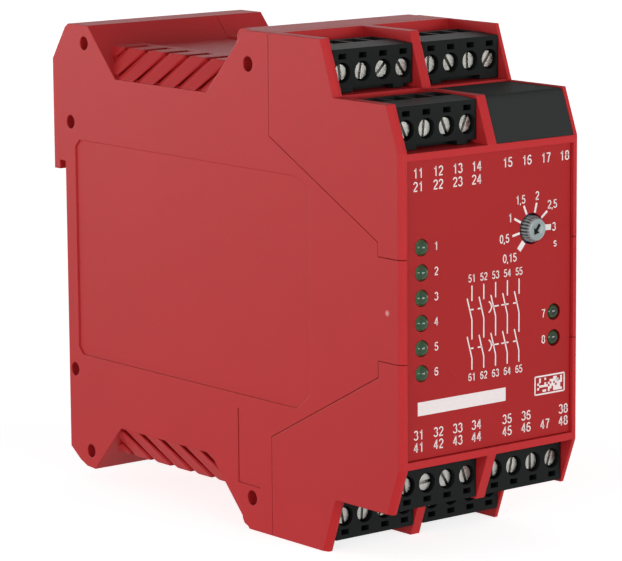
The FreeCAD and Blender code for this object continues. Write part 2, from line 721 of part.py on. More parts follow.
def screw_piece(x, lean):
    """Slotted clamp screw about the plug's own face; lean is the slot's angle from +x towards +z."""
    head = drum(HEAD_R, 1.3, x, 0.9, SCREW_W, (0, 1, 0))
    shank = drum(1.0, 3.85, x, 2.1, SCREW_W, (0, 1, 0))
    slot = box(-2.0, 2.0, -1, 1.7, -0.3, 0.3)
    slot.rotate(FreeCAD.Vector(0, 0, 0), FreeCAD.Vector(0, 1, 0), -lean)
    slot.translate(FreeCAD.Vector(x, 0, SCREW_W))
    return cut(head.fuse(shank), [slot])


def header_pieces():
    """Pin header behind a plug: shroud block through the wall, pins towards the plug."""
    y0 = PLUG_L + 0.3
    half = PLUG_W / 2 - 0.5
    block = box(-(board_x0 - BAY_X) + 0.05, half, y0, y0 + HEADER_L, 0.9, 7.0)
    w0 = PIN_W - PIN / 2
    w1 = PIN_W + PIN / 2
    pins = []
    holes = []
    for i, x in enumerate(pole_xs):
        tail_y0 = y0 + TAIL_START + i * TAIL_STEP
        tail_y1 = tail_y0 + TAIL_T
        pin = box(x - PIN / 2, x + PIN / 2, 8.4, tail_y1, w0, w1)
        tail = box(x - PIN / 2, -(board_x1 - BAY_X), tail_y0, tail_y1, w0, w1)
        pins.append(pin.fuse(tail).removeSplitter())
        holes.append(box(x - PIN / 2, x + PIN / 2, y0 - 1, tail_y1, w0, w1))
        holes.append(box(x - PIN / 2, -half - 1, tail_y0, tail_y1, w0, w1))
    return cut(block, holes), pins


plug_body, plug_clamps = plug_pieces()
header_body, header_pins = header_pieces()


def placed(shape, side, up, face_y, floor):
    """Carry a piece from the plug frame to its bay."""
    out = shape.copy()
    out.translate(FreeCAD.Vector(0, 0, PLUG_LIFT))
    if side > 0:
        out = flip_x(out)
    out.translate(FreeCAD.Vector(side * BAY_X, face_y, floor))
    if up < 0:
        out = flip_z(out)
    return out


# each bay: its place, its face and floor, and how its four screws were left turned, left to right
bays = [
    ("top_rear_left", -1, 1, PLUG_FACE_2, FLOOR_2, (98, 80, 45, 125)),
    ("top_rear_right", 1, 1, PLUG_FACE_2, FLOOR_2, (86, 124, 92, 52)),
    ("top_front_left", -1, 1, PLUG_FACE_1, FLOOR_1, (116, 84, 114, 66)),
    ("bottom_rear_left", -1, -1, PLUG_FACE_2, FLOOR_2, (102, 86, 60, 130)),
    ("bottom_rear_right", 1, -1, PLUG_FACE_2, FLOOR_2, (40, 95, 70, 110)),
    ("bottom_front_left", -1, -1, PLUG_FACE_1, FLOOR_1, (100, 3, 122, 108)),
    ("bottom_front_right", 1, -1, PLUG_FACE_1, FLOOR_1, (94, 78, 90, 70)),
]
all_pins = []
for name, side, up, face_y, floor, leans in bays:
    spot = (side, up, face_y, floor)
    screws = []
    for i, lean in enumerate(leans):
        screws.append(screw_piece(-side * pole_xs[i], lean if side * up < 0 else -lean))
    save(name + "_plug", [placed(plug_body, *spot)])
    save(name + "_plug_screws", [placed(s, *spot) for s in screws])
    save(name + "_plug_clamps", [placed(s, *spot) for s in plug_clamps])
    save(name + "_header", [placed(header_body, *spot)])
    all_pins.extend([placed(s, *spot) for s in header_pins])
save("header_pins", all_pins)

# ---- circuit boards: one along each side wall and one behind the label plate
BOARD_GAP = 0.1
front_board_z = room_1 - 1.75
board_half = [
    (FRONT_BOARD_Y + BOARD + 0.4, front_board_z),
    (STEP_Y + WALL + BOARD_GAP, front_board_z),
    (STEP_Y + WALL + BOARD_GAP, room_2 - 1.2),
    (BACK_Y + WALL + BOARD_GAP, room_2 - 1.2),
    (BACK_Y + WALL + BOARD_GAP, room_3 - 1.4),
    (SHOULDER_Y - BOARD_GAP, room_3 - 1.4),
    (VALLEY_FRONT - 1.5, VALLEY_Z - WALL - 0.85),
    (VALLEY_REAR + 2.2, VALLEY_Z - WALL - 0.85),
    (VALLEY_REAR + 2.2, VALLEY_Z - WALL - 4.75),
]
side_board = prism(both_halves(board_half), -board_x1, -board_x0)
tail_holes = []
for name, side, up, face_y, floor, leans in bays:
    if side < 0:
        for i in range(POLES):
            y = face_y + PLUG_L + 0.3 + TAIL_START + i * TAIL_STEP
            z = floor + PLUG_LIFT + PIN_W
            tail_holes.append(box(-board_x1 - 1, -board_x0 + 1, y, y + TAIL_T,
                                  up * (z - PIN / 2), up * (z + PIN / 2)))
for y, z, r in PINS:
    for up in (-1, 1):
        tail_holes.append(drum(r + 1.6, WIDTH, -HALF, y, up * z, (1, 0, 0)))
side_board = cut(side_board, tail_holes)
save("left_side_board", [side_board])
save("right_side_board", [flip_x(side_board)])
front_board_x = board_x0 - 0.15
front_board = box(-front_board_x, front_board_x, FRONT_BOARD_Y, FRONT_BOARD_Y + BOARD,
                  -front_board_z, front_board_z)
save("front_board", [front_board])
LINK_W = 3.15
LINK_L = 5.4
LINK_HALF_Z = 12.0
link_y0 = FRONT_BOARD_Y + BOARD
edge_links = []
for side in (-1, 1):
    edge_links.append(box(side * board_x0, side * (board_x0 - LINK_W), link_y0, link_y0 + LINK_L,
                          -LINK_HALF_Z, LINK_HALF_Z))
save("board_links", edge_links)

# ---- parts on the boards
RELAY_W = 13.0            # off the board
RELAY_L = 40.0
RELAY_H = 12.8
RELAY_FRONT = -64.0
RELAY_GAP = 1.8
RELAY_STEP = 1.0          # margin of the raised end face
RELAY_LIP = 0.6
relay_zs = (2 * RELAY_GAP + RELAY_H, RELAY_GAP, -RELAY_GAP - RELAY_H, -2 * (RELAY_GAP + RELAY_H))
for i, z in enumerate(relay_zs):
    relay = box(-board_x0, -board_x0 + RELAY_W, RELAY_FRONT, RELAY_FRONT + RELAY_L, z, z + RELAY_H)
    lip = box(-board_x0 + RELAY_STEP, -board_x0 + RELAY_W - RELAY_STEP, RELAY_FRONT - RELAY_LIP,
              RELAY_FRONT, z + RELAY_STEP, z + RELAY_H - RELAY_STEP)
    save("relay_" + str(i + 1), [relay.fuse(lip).removeSplitter()])

# shell core: outer legs, two windows and a middle leg, with the coil through the windows
CORE_W = 16.0
CORE_FRONT = -60.0
CORE_HALF_Z = 14.0
CORE_LEG = 5.5
CORE_WINDOW = 7.0
CORE_MID = 7.0
CORE_YOKE = 5.0
COIL_PLAY = 0.1
COIL_GAP = 0.5
COIL_HEAD = 2.0
core_x1 = board_x0 - 1.0
core_x0 = core_x1 - CORE_W
window_0 = CORE_FRONT + CORE_LEG
middle_0 = window_0 + CORE_WINDOW
middle_1 = middle_0 + CORE_MID
window_1 = middle_1 + CORE_WINDOW
window_z = CORE_HALF_Z - CORE_YOKE
core = box(core_x0, core_x1, CORE_FRONT, window_1 + CORE_LEG, -CORE_HALF_Z, CORE_HALF_Z)
core = cut(core, [box(core_x0 - 1, core_x1 + 1, window_0, middle_0, -window_z, window_z),
                  box(core_x0 - 1, core_x1 + 1, middle_1, window_1, -window_z, window_z)])
save("transformer_core", [core])
coil_z = window_z - 0.4
coil = box(core_x0 - COIL_HEAD, board_x0, window_0 + COIL_GAP, window_1 - COIL_GAP, -coil_z, coil_z)
coil = cut(coil, [box(core_x0 - COIL_PLAY, core_x1 + COIL_PLAY, middle_0 - COIL_PLAY,
                      middle_1 + COIL_PLAY, -coil_z - 0.5, coil_z + 0.5)])
save("transformer_coil", [coil])
CAN_R = 5.0
CAN_L = 16.0
CAN_Y = -56.0
can_z = CORE_HALF_Z + CAN_R + 3.0
save("capacitors", [drum(CAN_R, CAN_L, board_x0 - CAN_L, CAN_Y, z, (1, 0, 0)) for z in (can_z, -can_z)])
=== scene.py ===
import math
import bpy
import bmesh
import numpy as np
from mathutils import Matrix, Vector


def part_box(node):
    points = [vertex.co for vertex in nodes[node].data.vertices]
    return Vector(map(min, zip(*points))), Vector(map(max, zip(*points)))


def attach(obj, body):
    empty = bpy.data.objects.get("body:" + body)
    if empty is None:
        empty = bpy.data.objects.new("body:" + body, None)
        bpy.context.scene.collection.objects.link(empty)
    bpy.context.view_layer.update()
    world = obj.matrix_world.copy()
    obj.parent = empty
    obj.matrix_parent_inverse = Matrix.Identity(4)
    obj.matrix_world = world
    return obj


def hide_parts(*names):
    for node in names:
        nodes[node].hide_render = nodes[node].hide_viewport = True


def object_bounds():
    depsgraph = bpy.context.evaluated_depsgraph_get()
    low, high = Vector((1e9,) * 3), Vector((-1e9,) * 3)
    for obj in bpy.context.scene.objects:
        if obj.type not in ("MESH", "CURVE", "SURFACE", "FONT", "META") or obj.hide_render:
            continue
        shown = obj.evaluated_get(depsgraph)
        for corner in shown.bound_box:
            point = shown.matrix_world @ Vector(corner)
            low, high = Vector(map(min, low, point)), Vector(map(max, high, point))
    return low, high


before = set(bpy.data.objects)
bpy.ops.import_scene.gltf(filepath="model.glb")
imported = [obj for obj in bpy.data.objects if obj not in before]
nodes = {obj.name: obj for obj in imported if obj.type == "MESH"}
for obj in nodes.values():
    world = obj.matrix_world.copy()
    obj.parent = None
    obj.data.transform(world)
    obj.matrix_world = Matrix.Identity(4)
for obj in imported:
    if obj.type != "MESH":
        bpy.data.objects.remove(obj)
cad_low, cad_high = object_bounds()
MM = 0.001

# ---------------------------------------------------------------- base housing
# Two shells of red glass-filled polyamide, injection moulded in a spark-eroded tool and snapped together.
# The tool texture gives a satin skin with very fine grain; every outside edge has a small moulded radius.
HOUSING_RED = "#B7282B"
GRAIN_MM = 0.35           # real grain is about 0.1 mm; drawn coarser so that it shows
EDGE_RADIUS_MM = 0.3
CLOUD_MM = 14.0           # size of the faint clouds in a moulded pigment
DUST_MM = 2.6             # spacing of dust specks
POLYMER_IOR = 1.53


def linear(hex_colour):
    """sRGB hex to linear RGBA: each channel over 12.92 near black, else ((c + 0.055) / 1.055) ** 2.4."""
    values = np.array([int(hex_colour[i:i + 2], 16) for i in (1, 3, 5)]) / 255
    low = values / 12.92
    high = ((values + 0.055) / 1.055) ** 2.4
    return (*np.where(values <= 0.04045, low, high), 1.0)


def shade(hex_colour, factor):
    """The same colour, darker or lighter by a factor in linear light."""
    r, g, b, a = linear(hex_colour)
    return (min(r * factor, 1), min(g * factor, 1), min(b * factor, 1), 1.0)


def add(tree, kind, inputs=(), **settings):
    """One node with its settings, and its inputs set to values or linked from other sockets."""
    node = tree.nodes.new("ShaderNode" + kind)
    for key, value in settings.items():
        setattr(node, key, value)
    for key, value in dict(inputs).items():
        if isinstance(value, bpy.types.NodeSocket):
            tree.links.new(value, node.inputs[key])
        else:
            node.inputs[key].default_value = value
    return node


def new_material(name):
    """An empty node material and its tree, with an output node waiting."""
    material = bpy.data.materials.new(name)
    material.use_nodes = True
    tree = material.node_tree
    tree.nodes.clear()
    return material, tree


def moulded_plastic(name, colour, rough, grain_mm, bump_mm, edge_mm, cloud=0.05, fleck=0.0,
                    fleck_colour="#FFFFFF", shine=0.15, marks=None):
    """Moulded plastic: cloudy pigment, grained skin, rounded edges, and a few pale specks of dust.

    A textured skin scatters most of its surface reflection, so the shine is set below that of the bare polymer.
    Marks, if given, is a function that paints local marks over the pigment: stains, scars, or painted shade.
    """
    material, tree = new_material(name)
    place = add(tree, "TexCoord").outputs["Object"]
    clouds = add(tree, "TexNoise", {"Vector": place, "Scale": 1 / (CLOUD_MM * MM), "Detail": 3.0})
    pigment = add(tree, "Mix", {"Factor": clouds.outputs["Fac"], "A": shade(colour, 1 - cloud),
                                "B": shade(colour, 1 + cloud)}, data_type="RGBA")
    skin = pigment.outputs["Result"]
    if fleck:
        dust = add(tree, "TexVoronoi", {"Vector": place, "Scale": 1 / (DUST_MM * MM)}, feature="F1")
        spot = add(tree, "MapRange", {"Value": dust.outputs["Distance"], "From Min": 0.02, "From Max": 0.05,
                                      "To Min": fleck, "To Max": 0.0})
        skin = add(tree, "Mix", {"Factor": spot.outputs["Result"], "A": skin, "B": linear(fleck_colour)},
                   data_type="RGBA").outputs["Result"]
    if marks:
        skin = marks(tree, place, skin)
    grain = add(tree, "TexNoise", {"Vector": place, "Scale": 1 / (grain_mm * MM), "Detail": 2.0})
    gloss = add(tree, "MapRange", {"Value": grain.outputs["Fac"], "From Min": 0.3, "From Max": 0.7,
                                   "To Min": rough - 0.05, "To Max": rough + 0.06})
    edge = add(tree, "Bevel", {"Radius": edge_mm * MM}, samples=6)
    bump = add(tree, "Bump", {"Height": grain.outputs["Fac"], "Distance": bump_mm * MM, "Strength": 1.0,
                              "Normal": edge.outputs["Normal"]})
    shader = add(tree, "BsdfPrincipled", {"Base Color": skin, "Roughness": gloss.outputs["Result"],
                                          "Normal": bump.outputs["Normal"], "IOR": POLYMER_IOR,
                                          "Specular IOR Level": shine})
    add(tree, "OutputMaterial", {"Surface": shader.outputs["BSDF"]})
    return material


def finish_with(material, *names):
    """CAD nodes shown as they are, in this material."""
    for name in names:
        mesh = nodes[name].data
        mesh.materials.clear()
        mesh.materials.append(material)


GATE_PLACE = (-22.5 * MM, -103.9 * MM, -0.2 * MM)
GATE_CORE = 0.25 * MM
GATE_EDGE = 0.7 * MM
GATE_PINK = "#E2A0A0"


def gate_mark(tree, place, skin):
    """The stress-whitened spot, about 1 mm across, where the mould's gate was twisted off the side."""
    away = add(tree, "VectorMath", {0: place, 1: GATE_PLACE}, operation="DISTANCE")
    spot = add(tree, "MapRange", {"Value": away.outputs["Value"], "From Min": GATE_CORE, "From Max": GATE_EDGE,
                                  "To Min": 0.8, "To Max": 0.0})
    return add(tree, "Mix", {"Factor": spot.outputs["Result"], "A": skin, "B": linear(GATE_PINK)},
               data_type="RGBA").outputs["Result"]


# glass-filled polyamide from a spark-eroded tool: satin, with broad soft highlights that the grain breaks up
red_polyamide = moulded_plastic("red polyamide, spark-eroded", HOUSING_RED, 0.46, GRAIN_MM, 0.012, EDGE_RADIUS_MM,
                                marks=gate_mark)
finish_with(red_polyamide, "base_housing_left_shell", "base_housing_right_shell")

# ---------------------------------------------------------------- rail catch and its spring
# The catch is an injection-moulded bar of black polyamide, slid into the rear wall from below. Its folded spring
# is stamped and bent from steel strip.
# unfilled polyamide from a smoother tool: near black and half matt
catch_plastic = moulded_plastic("black polyamide, moulded", "#232425", 0.5, 0.3, 0.01, 0.2)
finish_with(catch_plastic, "rail_catch")


def plated_metal(name, colour, rough, speck_mm, bump_mm, contrast=0.25, edge_mm=0.08):
    """Electroplated metal: crystalline speckle in tone and gloss, a slightly uneven surface, rounded edges."""
    material, tree = new_material(name)
    place = add(tree, "TexCoord").outputs["Object"]
    speck = add(tree, "TexNoise", {"Vector": place, "Scale": 1 / (speck_mm * MM), "Detail": 4.0, "Roughness": 0.7})
    tone = add(tree, "Mix", {"Factor": speck.outputs["Fac"], "A": shade(colour, 1 - contrast),
                             "B": shade(colour, 1 + contrast)}, data_type="RGBA")
    gloss = add(tree, "MapRange", {"Value": speck.outputs["Fac"], "From Min": 0.3, "From Max": 0.7,
                                   "To Min": rough - 0.1, "To Max": rough + 0.12})
    edge = add(tree, "Bevel", {"Radius": edge_mm * MM}, samples=4)
    bump = add(tree, "Bump", {"Height": speck.outputs["Fac"], "Distance": bump_mm * MM, "Strength": 1.0,
                              "Normal": edge.outputs["Normal"]})
    shader = add(tree, "BsdfPrincipled", {"Base Color": tone.outputs["Result"], "Metallic": 1.0,
                                          "Roughness": gloss.outputs["Result"], "Normal": bump.outputs["Normal"]})
    add(tree, "OutputMaterial", {"Surface": shader.outputs["BSDF"]})
    return material


finish_with(plated_metal("spring steel, stamped", "#B9BAB8", 0.3, 0.5, 0.01), "rail_catch_spring")

# ---------------------------------------------------------------- boards, links and the parts soldered to them
# Glass-epoxy boards under green solder resist; relays in black cases, a varnished laminated transformer core
# with a taped copper coil, and two sleeved capacitors. All of them sit inside and show only through the slots.
# solder resist is a smooth lacquer, cloudy over the copper and the bare glass cloth
board_resist = moulded_plastic("glass epoxy under solder resist", "#1F5A33", 0.35, 0.5, 0.01, 0.05, cloud=0.12)
finish_with(board_resist, "left_side_board", "right_side_board", "front_board", "board_links")
relay_case = moulded_plastic("relay case, moulded", "#2B2C2E", 0.38, 0.3, 0.008, 0.2)
finish_with(relay_case, "relay_1", "relay_2", "relay_3", "relay_4")
finish_with(plated_metal("laminated core steel, varnished", "#5E5C5A", 0.5, 0.8, 0.02), "transformer_core")
finish_with(moulded_plastic("coil tape over copper", "#B98A2F", 0.45, 0.6, 0.02, 0.2), "transformer_coil")
finish_with(moulded_plastic("capacitor sleeve, shrunk", "#26303F", 0.3, 0.5, 0.01, 0.3), "capacitors")

# ---------------------------------------------------------------- front housing
# One moulding in the same red polyamide: stepped floors, outer and centre fins and the rim round the label.
# It snaps over the tongues of the base shells.
finish_with(red_polyamide, "front_housing")

# ---------------------------------------------------------------- pin headers
# Moulded blocks of black PBT, one behind each plug, soldered to the side boards. Square pins of tinned brass go
# through them and into the plugs.
finish_with(moulded_plastic("header PBT, moulded", "#2A2B2B", 0.45, 0.3, 0.01, 0.1),
            *[n for n in nodes if n.endswith("_header")])
finish_with(plated_metal("tinned brass pin", "#C9C8C4", 0.3, 0.3, 0.005), "header_pins")

# ---------------------------------------------------------------- plugs
# Black flame-retardant polyamide terminal plugs with a fine matt texture and crisp openings, pushed on to the
# pins; dust shows as pale specks. Clamp cages are nickel-flashed brass, screws zinc-plated steel.
# flame-retardant polyamide: deep matt black, so that the dust on it is what the eye catches
plug_plastic = moulded_plastic("black polyamide, fine texture", "#161818", 0.48, 0.25, 0.012, 0.14, cloud=0.12,
                               fleck=0.35, fleck_colour="#9A9C9A", shine=0.06)
finish_with(plug_plastic, *[n for n in nodes if n.endswith("_plug")])
finish_with(plated_metal("nickel-flashed brass, stamped", "#B3A88C", 0.35, 0.4, 0.01),
            *[n for n in nodes if n.endswith("_clamps")])
finish_with(plated_metal("zinc-plated steel, cold headed", "#A3A29D", 0.28, 0.9, 0.03, contrast=0.28, edge_mm=0.15),
            *[n for n in nodes if n.endswith("_screws")])

# ---------------------------------------------------------------- blank cover
# A snap-in cover over the bay that has no plug, moulded in black polyamide as the plugs are, but slightly greyer
# and more matt.
finish_with(moulded_plastic("black polyamide, matt cover", "#343736", 0.6, 0.3, 0.012, 0.25, cloud=0.08,
                            fleck=0.3, fleck_colour="#8A8C8A", shine=0.01), "blank_cover")

# ---------------------------------------------------------------- lights
# Domed 3 mm lamps cast in green-tinted clear resin, unlit, with a dark die cup inside; they stand on the front
# board and their domes come through holes in the label plate.
LAMP_SIDES = 40
DOME_R = 1.5 * MM
FOOT_R = 1.9 * MM
FOOT_T = 1 * MM
CUP_R = 0.782 * DOME_R
CUP_BEHIND = 1.1 * MM            # the cup's top lies this far behind the tip of the dome
CUP_BOW = 0.9 * MM
CUP_END = 2 * MM                 # and its end this far in front of the foot
LEFT_LAMP_X = -16.8
RIGHT_LAMP_X = 16.6
TOP_LAMP_Z = 11.9
LAMP_PITCH = 4.76
LEFT_LAMP_Z = [TOP_LAMP_Z - LAMP_PITCH * i for i in range(6)]
RIGHT_LAMP_Z = [-4.15, -9.2]


def ringed(name, points):
    """Mesh over a grid of points whose rows are closed rings: a quad from each ring to the next all the way round."""
    rows, cols = points.shape[:2]
    i, j = np.meshgrid(np.arange(rows - 1), np.arange(cols), indexing="ij")
    k = (j + 1) % cols
    quads = np.stack([i * cols + j, i * cols + k, (i + 1) * cols + k, (i + 1) * cols + j], -1).reshape(-1, 4)
    mesh = bpy.data.meshes.new(name)
    mesh.from_pydata(points.reshape(-1, 3).tolist(), [], quads.tolist())
    return mesh


def turned(name, reach, along, centre_x, centre_z):
    """Surface of revolution about a line parallel to Y: radius reach(t) at y = along(t), t down the profile."""
    angle = np.linspace(0, 2 * np.pi, LAMP_SIDES, endpoint=False)
    ring_r, ring_a = np.meshgrid(reach, angle, indexing="ij")
    ring_y = np.repeat(along[:, None], LAMP_SIDES, 1)
    return ringed(name, np.stack([centre_x + ring_r * np.cos(ring_a), ring_y, centre_z + ring_r * np.sin(ring_a)], -1))


def joined(name, meshes, material, body, smooth_degrees=35.0):
    """One object from several meshes, doubles merged, faces turned outwards, riding on a body."""
    shell = bmesh.new()
    for mesh in meshes:
        shell.from_mesh(mesh)
        bpy.data.meshes.remove(mesh)
    bmesh.ops.remove_doubles(shell, verts=shell.verts, dist=1e-7)
    bmesh.ops.recalc_face_normals(shell, faces=shell.faces)
    whole = bpy.data.meshes.new(name)
    shell.to_mesh(whole)
    shell.free()
    whole.shade_smooth()
    whole.set_sharp_from_angle(angle=math.radians(smooth_degrees))
    whole.materials.append(material)
    piece = bpy.data.objects.new(name, whole)
    bpy.context.scene.collection.objects.link(piece)
    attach(piece, body)
    return piece


def resin_with_painted_light(name, tip_shade_colour, root_light_colour, rough, tip_mm):
    """Cast resin whose colour carries painted light and shade: painted shade towards the tip, where the die lies close
    behind it, and painted light, paler, round the root of the dome.
    """
    material, tree = new_material(name)
    place = add(tree, "TexCoord").outputs["Object"]
    depth = add(tree, "SeparateXYZ", {"Vector": place}).outputs["Y"]
    root = add(tree, "MapRange", {"Value": depth, "From Min": PLATE_FRONT - tip_mm * MM,
                                  "From Max": PLATE_FRONT + ROOT_BEHIND})
    # painted light and shade: dark at the tip, pale round the root
    painted_tint = add(tree, "Mix", {"Factor": root.outputs["Result"], "A": linear(tip_shade_colour), "B": linear(root_light_colour)},
               data_type="RGBA")
    ripple = add(tree, "TexNoise", {"Vector": place, "Scale": 1 / (1.5 * MM), "Detail": 1.0})
    gloss = add(tree, "MapRange", {"Value": ripple.outputs["Fac"], "To Min": rough - 0.05, "To Max": rough + 0.05})
    shader = add(tree, "BsdfPrincipled", {"Base Color": painted_tint.outputs["Result"], "Roughness": gloss.outputs["Result"],
                                          "IOR": 1.52, "Transmission Weight": 0.55,
                                          "Specular IOR Level": 0.3})
    add(tree, "OutputMaterial", {"Surface": shader.outputs["BSDF"]})
    return material


PLATE_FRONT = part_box("label_plate")[0].y
ROOT_BEHIND = 0.2 * MM
# clear resin bends light, so that the dome glints; its colour holds painted shade towards the tip where the cup lies
# behind and painted light round the root, and the deeper lamps get a darker copy as painted shade
resin = resin_with_painted_light("green resin, cast", "#215A30", "#93D69A", 0.14, 0.5)
# a darker copy for the lamps set deeper: painted shade
deep_resin_painted_shade = resin_with_painted_light("green resin, painted shade for deeper lamps", "#102E18", "#37703F", 0.14, 0.4)
die_cup = moulded_plastic("lamp die cup", "#16382A", 0.4, 0.2, 0.005, 0.05)


def lamps(name, columns, cast):
    """Dome, body and foot flange of each lamp: a quarter round, a straight wall, then the flange. Inside it, the
    cup is a smaller quarter round on the same axis.
    """
    low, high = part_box(name)
    bow = np.linspace(0, np.pi / 2, 12)
    rise = 1 - np.cos(bow)
    foot_front = high.y - FOOT_T
    reach = np.concatenate([DOME_R * np.sin(bow), [DOME_R, FOOT_R, FOOT_R, 0]])
    along = np.concatenate([low.y + DOME_R * rise, [foot_front, foot_front, high.y, high.y]])
    cup_reach = np.concatenate([CUP_R * np.sin(bow), [0.0]])
    cup_along = np.concatenate([low.y + CUP_BEHIND + CUP_BOW * rise, [high.y - CUP_END]])
    spots = [(x * MM, z * MM) for x, z in columns]
    lens = joined(name + "_lenses", [turned("lens", reach, along, x, z) for x, z in spots], cast, "housing")
    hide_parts(name)
    joined(name + "_cups", [turned("cup", cup_reach, cup_along, x, z) for x, z in spots], die_cup, "housing")


lamps("left_status_lights", [(LEFT_LAMP_X, z) for z in LEFT_LAMP_Z], resin)
lamps("right_status_lights", [(RIGHT_LAMP_X, z) for z in RIGHT_LAMP_Z], deep_resin_painted_shade)

# ---------------------------------------------------------------- potentiometer and its knob
# A trimmer with a blue moulded body behind the plate, and a grey polyamide knob with 22 grip ribs. Its face has a
# bright rolled rim, a shallow dish and an arrow slot, with a black piece set shallow in the slot that stands for the
# black rotor below and paints the shade in the slot.
finish_with(moulded_plastic("trimmer body, moulded", "#24509A", 0.4, 0.3, 0.01, 0.1), "time_potentiometer")
# black for the piece in the arrow slot: the black rotor, and painted shade in the slot
slot_shade_black = moulded_plastic("black polyamide, painted shade in the arrow slot", "#0E1112", 0.5, 0.2, 0.005, 0.05, shine=0.05)
KNOB_LOW, KNOB_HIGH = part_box("time_knob")
KNOB_X = (KNOB_LOW.x + KNOB_HIGH.x) / 2
KNOB_Z = (KNOB_LOW.z + KNOB_HIGH.z) / 2
KNOB_R = 2.55 * MM
RIB_DEPTH = 0.36 * MM
RIBS = 22
RIB_SAMPLES = 10
ARROW_TURN = math.radians(234.0)
# painted shade in the knob's grooves: its colour, the share of the rib depth where it starts, its blur and its reach
# behind the face
GROOVE_SHADE_COLOUR = "#17181B"
GROOVE_SHADE_SHARE = 0.62               # painted shade fills a groove deeper than this share of the rib depth
GROOVE_SHADE_BLUR = 0.12 * MM
GROOVE_SHADE_BEHIND = (0.45 * MM, 1.0 * MM)


def groove_painted_shade(tree, place, skin):
    """Painted shade: a dark colour where the surface lies nearer the axis than the ribs' lands, behind the rolled rim.
    """
    flat = add(tree, "Mapping", {"Vector": place, "Location": (-KNOB_X, 0, -KNOB_Z), "Scale": (1, 0, 1)})
    from_axis = add(tree, "VectorMath", {0: flat.outputs["Vector"]}, operation="LENGTH")
    sunk = add(tree, "MapRange", {"Value": from_axis.outputs["Value"],
                                  "From Min": KNOB_R - GROOVE_SHADE_SHARE * RIB_DEPTH - GROOVE_SHADE_BLUR,
                                  "From Max": KNOB_R - GROOVE_SHADE_BLUR, "To Min": 1.0, "To Max": 0.0})
    depth = add(tree, "SeparateXYZ", {"Vector": place}).outputs["Y"]
    behind = add(tree, "MapRange", {"Value": depth, "From Min": KNOB_LOW.y + GROOVE_SHADE_BEHIND[0],
                                    "From Max": KNOB_LOW.y + GROOVE_SHADE_BEHIND[1]})
    both = add(tree, "Math", {0: sunk.outputs["Result"], 1: behind.outputs["Result"]}, operation="MULTIPLY")
    # painted shade mixed into the colour of the grooves
    return add(tree, "Mix", {"Factor": both.outputs["Value"], "A": skin, "B": linear(GROOVE_SHADE_COLOUR)},
               data_type="RGBA").outputs["Result"]


# polyamide from a polished tool: smooth, so that the rim and the lands of the ribs glint; the grooves get painted
# shade
knob_grey = moulded_plastic("grey polyamide knob", "#8F9A9A", 0.36, 0.2, 0.008, 0.06, shine=0.45, marks=groove_painted_shade)


def knob_drum():
    """Profile of radii at depths behind the face, turned about the axis; the ribs take a share of the rib depth
    off the radius by a raised cosine of the angle, squared to widen the lands.
    """
    reach = np.array([0, 1.50, 1.58, 1.68, 1.80, 1.98, 2.12, 2.24, KNOB_R / MM, KNOB_R / MM, 1.3, 1.3, 0]) * MM
    depth = np.array([0.16, 0.16, 0.05, 0.0, 0.0, 0.06, 0.2, 0.42, 1.3, 3.9, 3.9, 6.0, 6.0]) * MM
    share = np.array([0, 0, 0, 0, 0, 0, 0.15, 0.8, 1, 1, 0, 0, 0])
    depth = np.minimum(depth, KNOB_HIGH.y - KNOB_LOW.y)
    angle = np.linspace(0, 2 * np.pi, RIBS * RIB_SAMPLES, endpoint=False)
    groove = (0.5 - 0.5 * np.cos(RIBS * angle)) ** 2
    radius = reach[:, None] - RIB_DEPTH * share[:, None] * groove[None]
    y = np.broadcast_to((KNOB_LOW.y + depth)[:, None], radius.shape)
    return ringed("knob_drum", np.stack([KNOB_X + radius * np.cos(angle), y, KNOB_Z + radius * np.sin(angle)], -1))


# the arrow's head and shaft, in mm from the knob's axis
HEAD_TIP = 1.28
HEAD_ROOT = 0.1
HEAD_HALF = 0.98
SHAFT_END = 1.2
SHAFT_HALF = 0.4


def arrow_block(front, rear, swell):
    """Arrow outline between two depths behind the face, pointing along +x before it is turned; swell scales it."""
    outline = np.array([(HEAD_TIP, 0), (HEAD_ROOT, HEAD_HALF), (HEAD_ROOT, SHAFT_HALF), (-SHAFT_END, SHAFT_HALF),
                        (-SHAFT_END, -SHAFT_HALF), (HEAD_ROOT, -SHAFT_HALF), (HEAD_ROOT, -HEAD_HALF)]) * MM * swell
    c, s = math.cos(ARROW_TURN), math.sin(ARROW_TURN)
    flat = outline @ np.array([[c, s], [-s, c]]) + (KNOB_X, KNOB_Z)
    rings = [np.insert(flat, 1, KNOB_LOW.y + d * MM, axis=1) for d in (front, rear)]
    count = len(flat)
    ring = np.arange(count)
    following = (ring + 1) % count
    faces = [ring.tolist(), (ring[::-1] + count).tolist()]
    faces += np.stack([ring, ring + count, following + count, following], -1).tolist()
    mesh = bpy.data.meshes.new("arrow_block")
    mesh.from_pydata(np.vstack(rings).tolist(), [], faces)
    return mesh


knob = joined("time_knob_ribbed", [knob_drum()], knob_grey, "knob", smooth_degrees=28.0)
# the block that cuts the slot, as deep as 1 mm behind the face; a black piece lies in it a little smaller, standing
# for the black rotor and painting the shade in the slot
slot_block = joined("slot_block", [arrow_block(-0.5, 1.0, 1.0)], knob_grey, "knob")
slotting = knob.modifiers.new("slot", "BOOLEAN")
slotting.operation = "DIFFERENCE"
slotting.solver = "EXACT"
slotting.object = slot_block
bpy.context.view_layer.update()
slotted = bpy.data.meshes.new_from_object(knob.evaluated_get(bpy.context.evaluated_depsgraph_get()))
knob.modifiers.clear()
knob.data = slotted
bpy.data.objects.remove(slot_block)
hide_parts("time_knob")
# the black piece in the slot, 0.35 mm behind the face: painted shade over the slot's floor
joined("time_knob_slot_painted_shade", [arrow_block(0.35, 0.95, 0.985)], slot_shade_black, "knob")

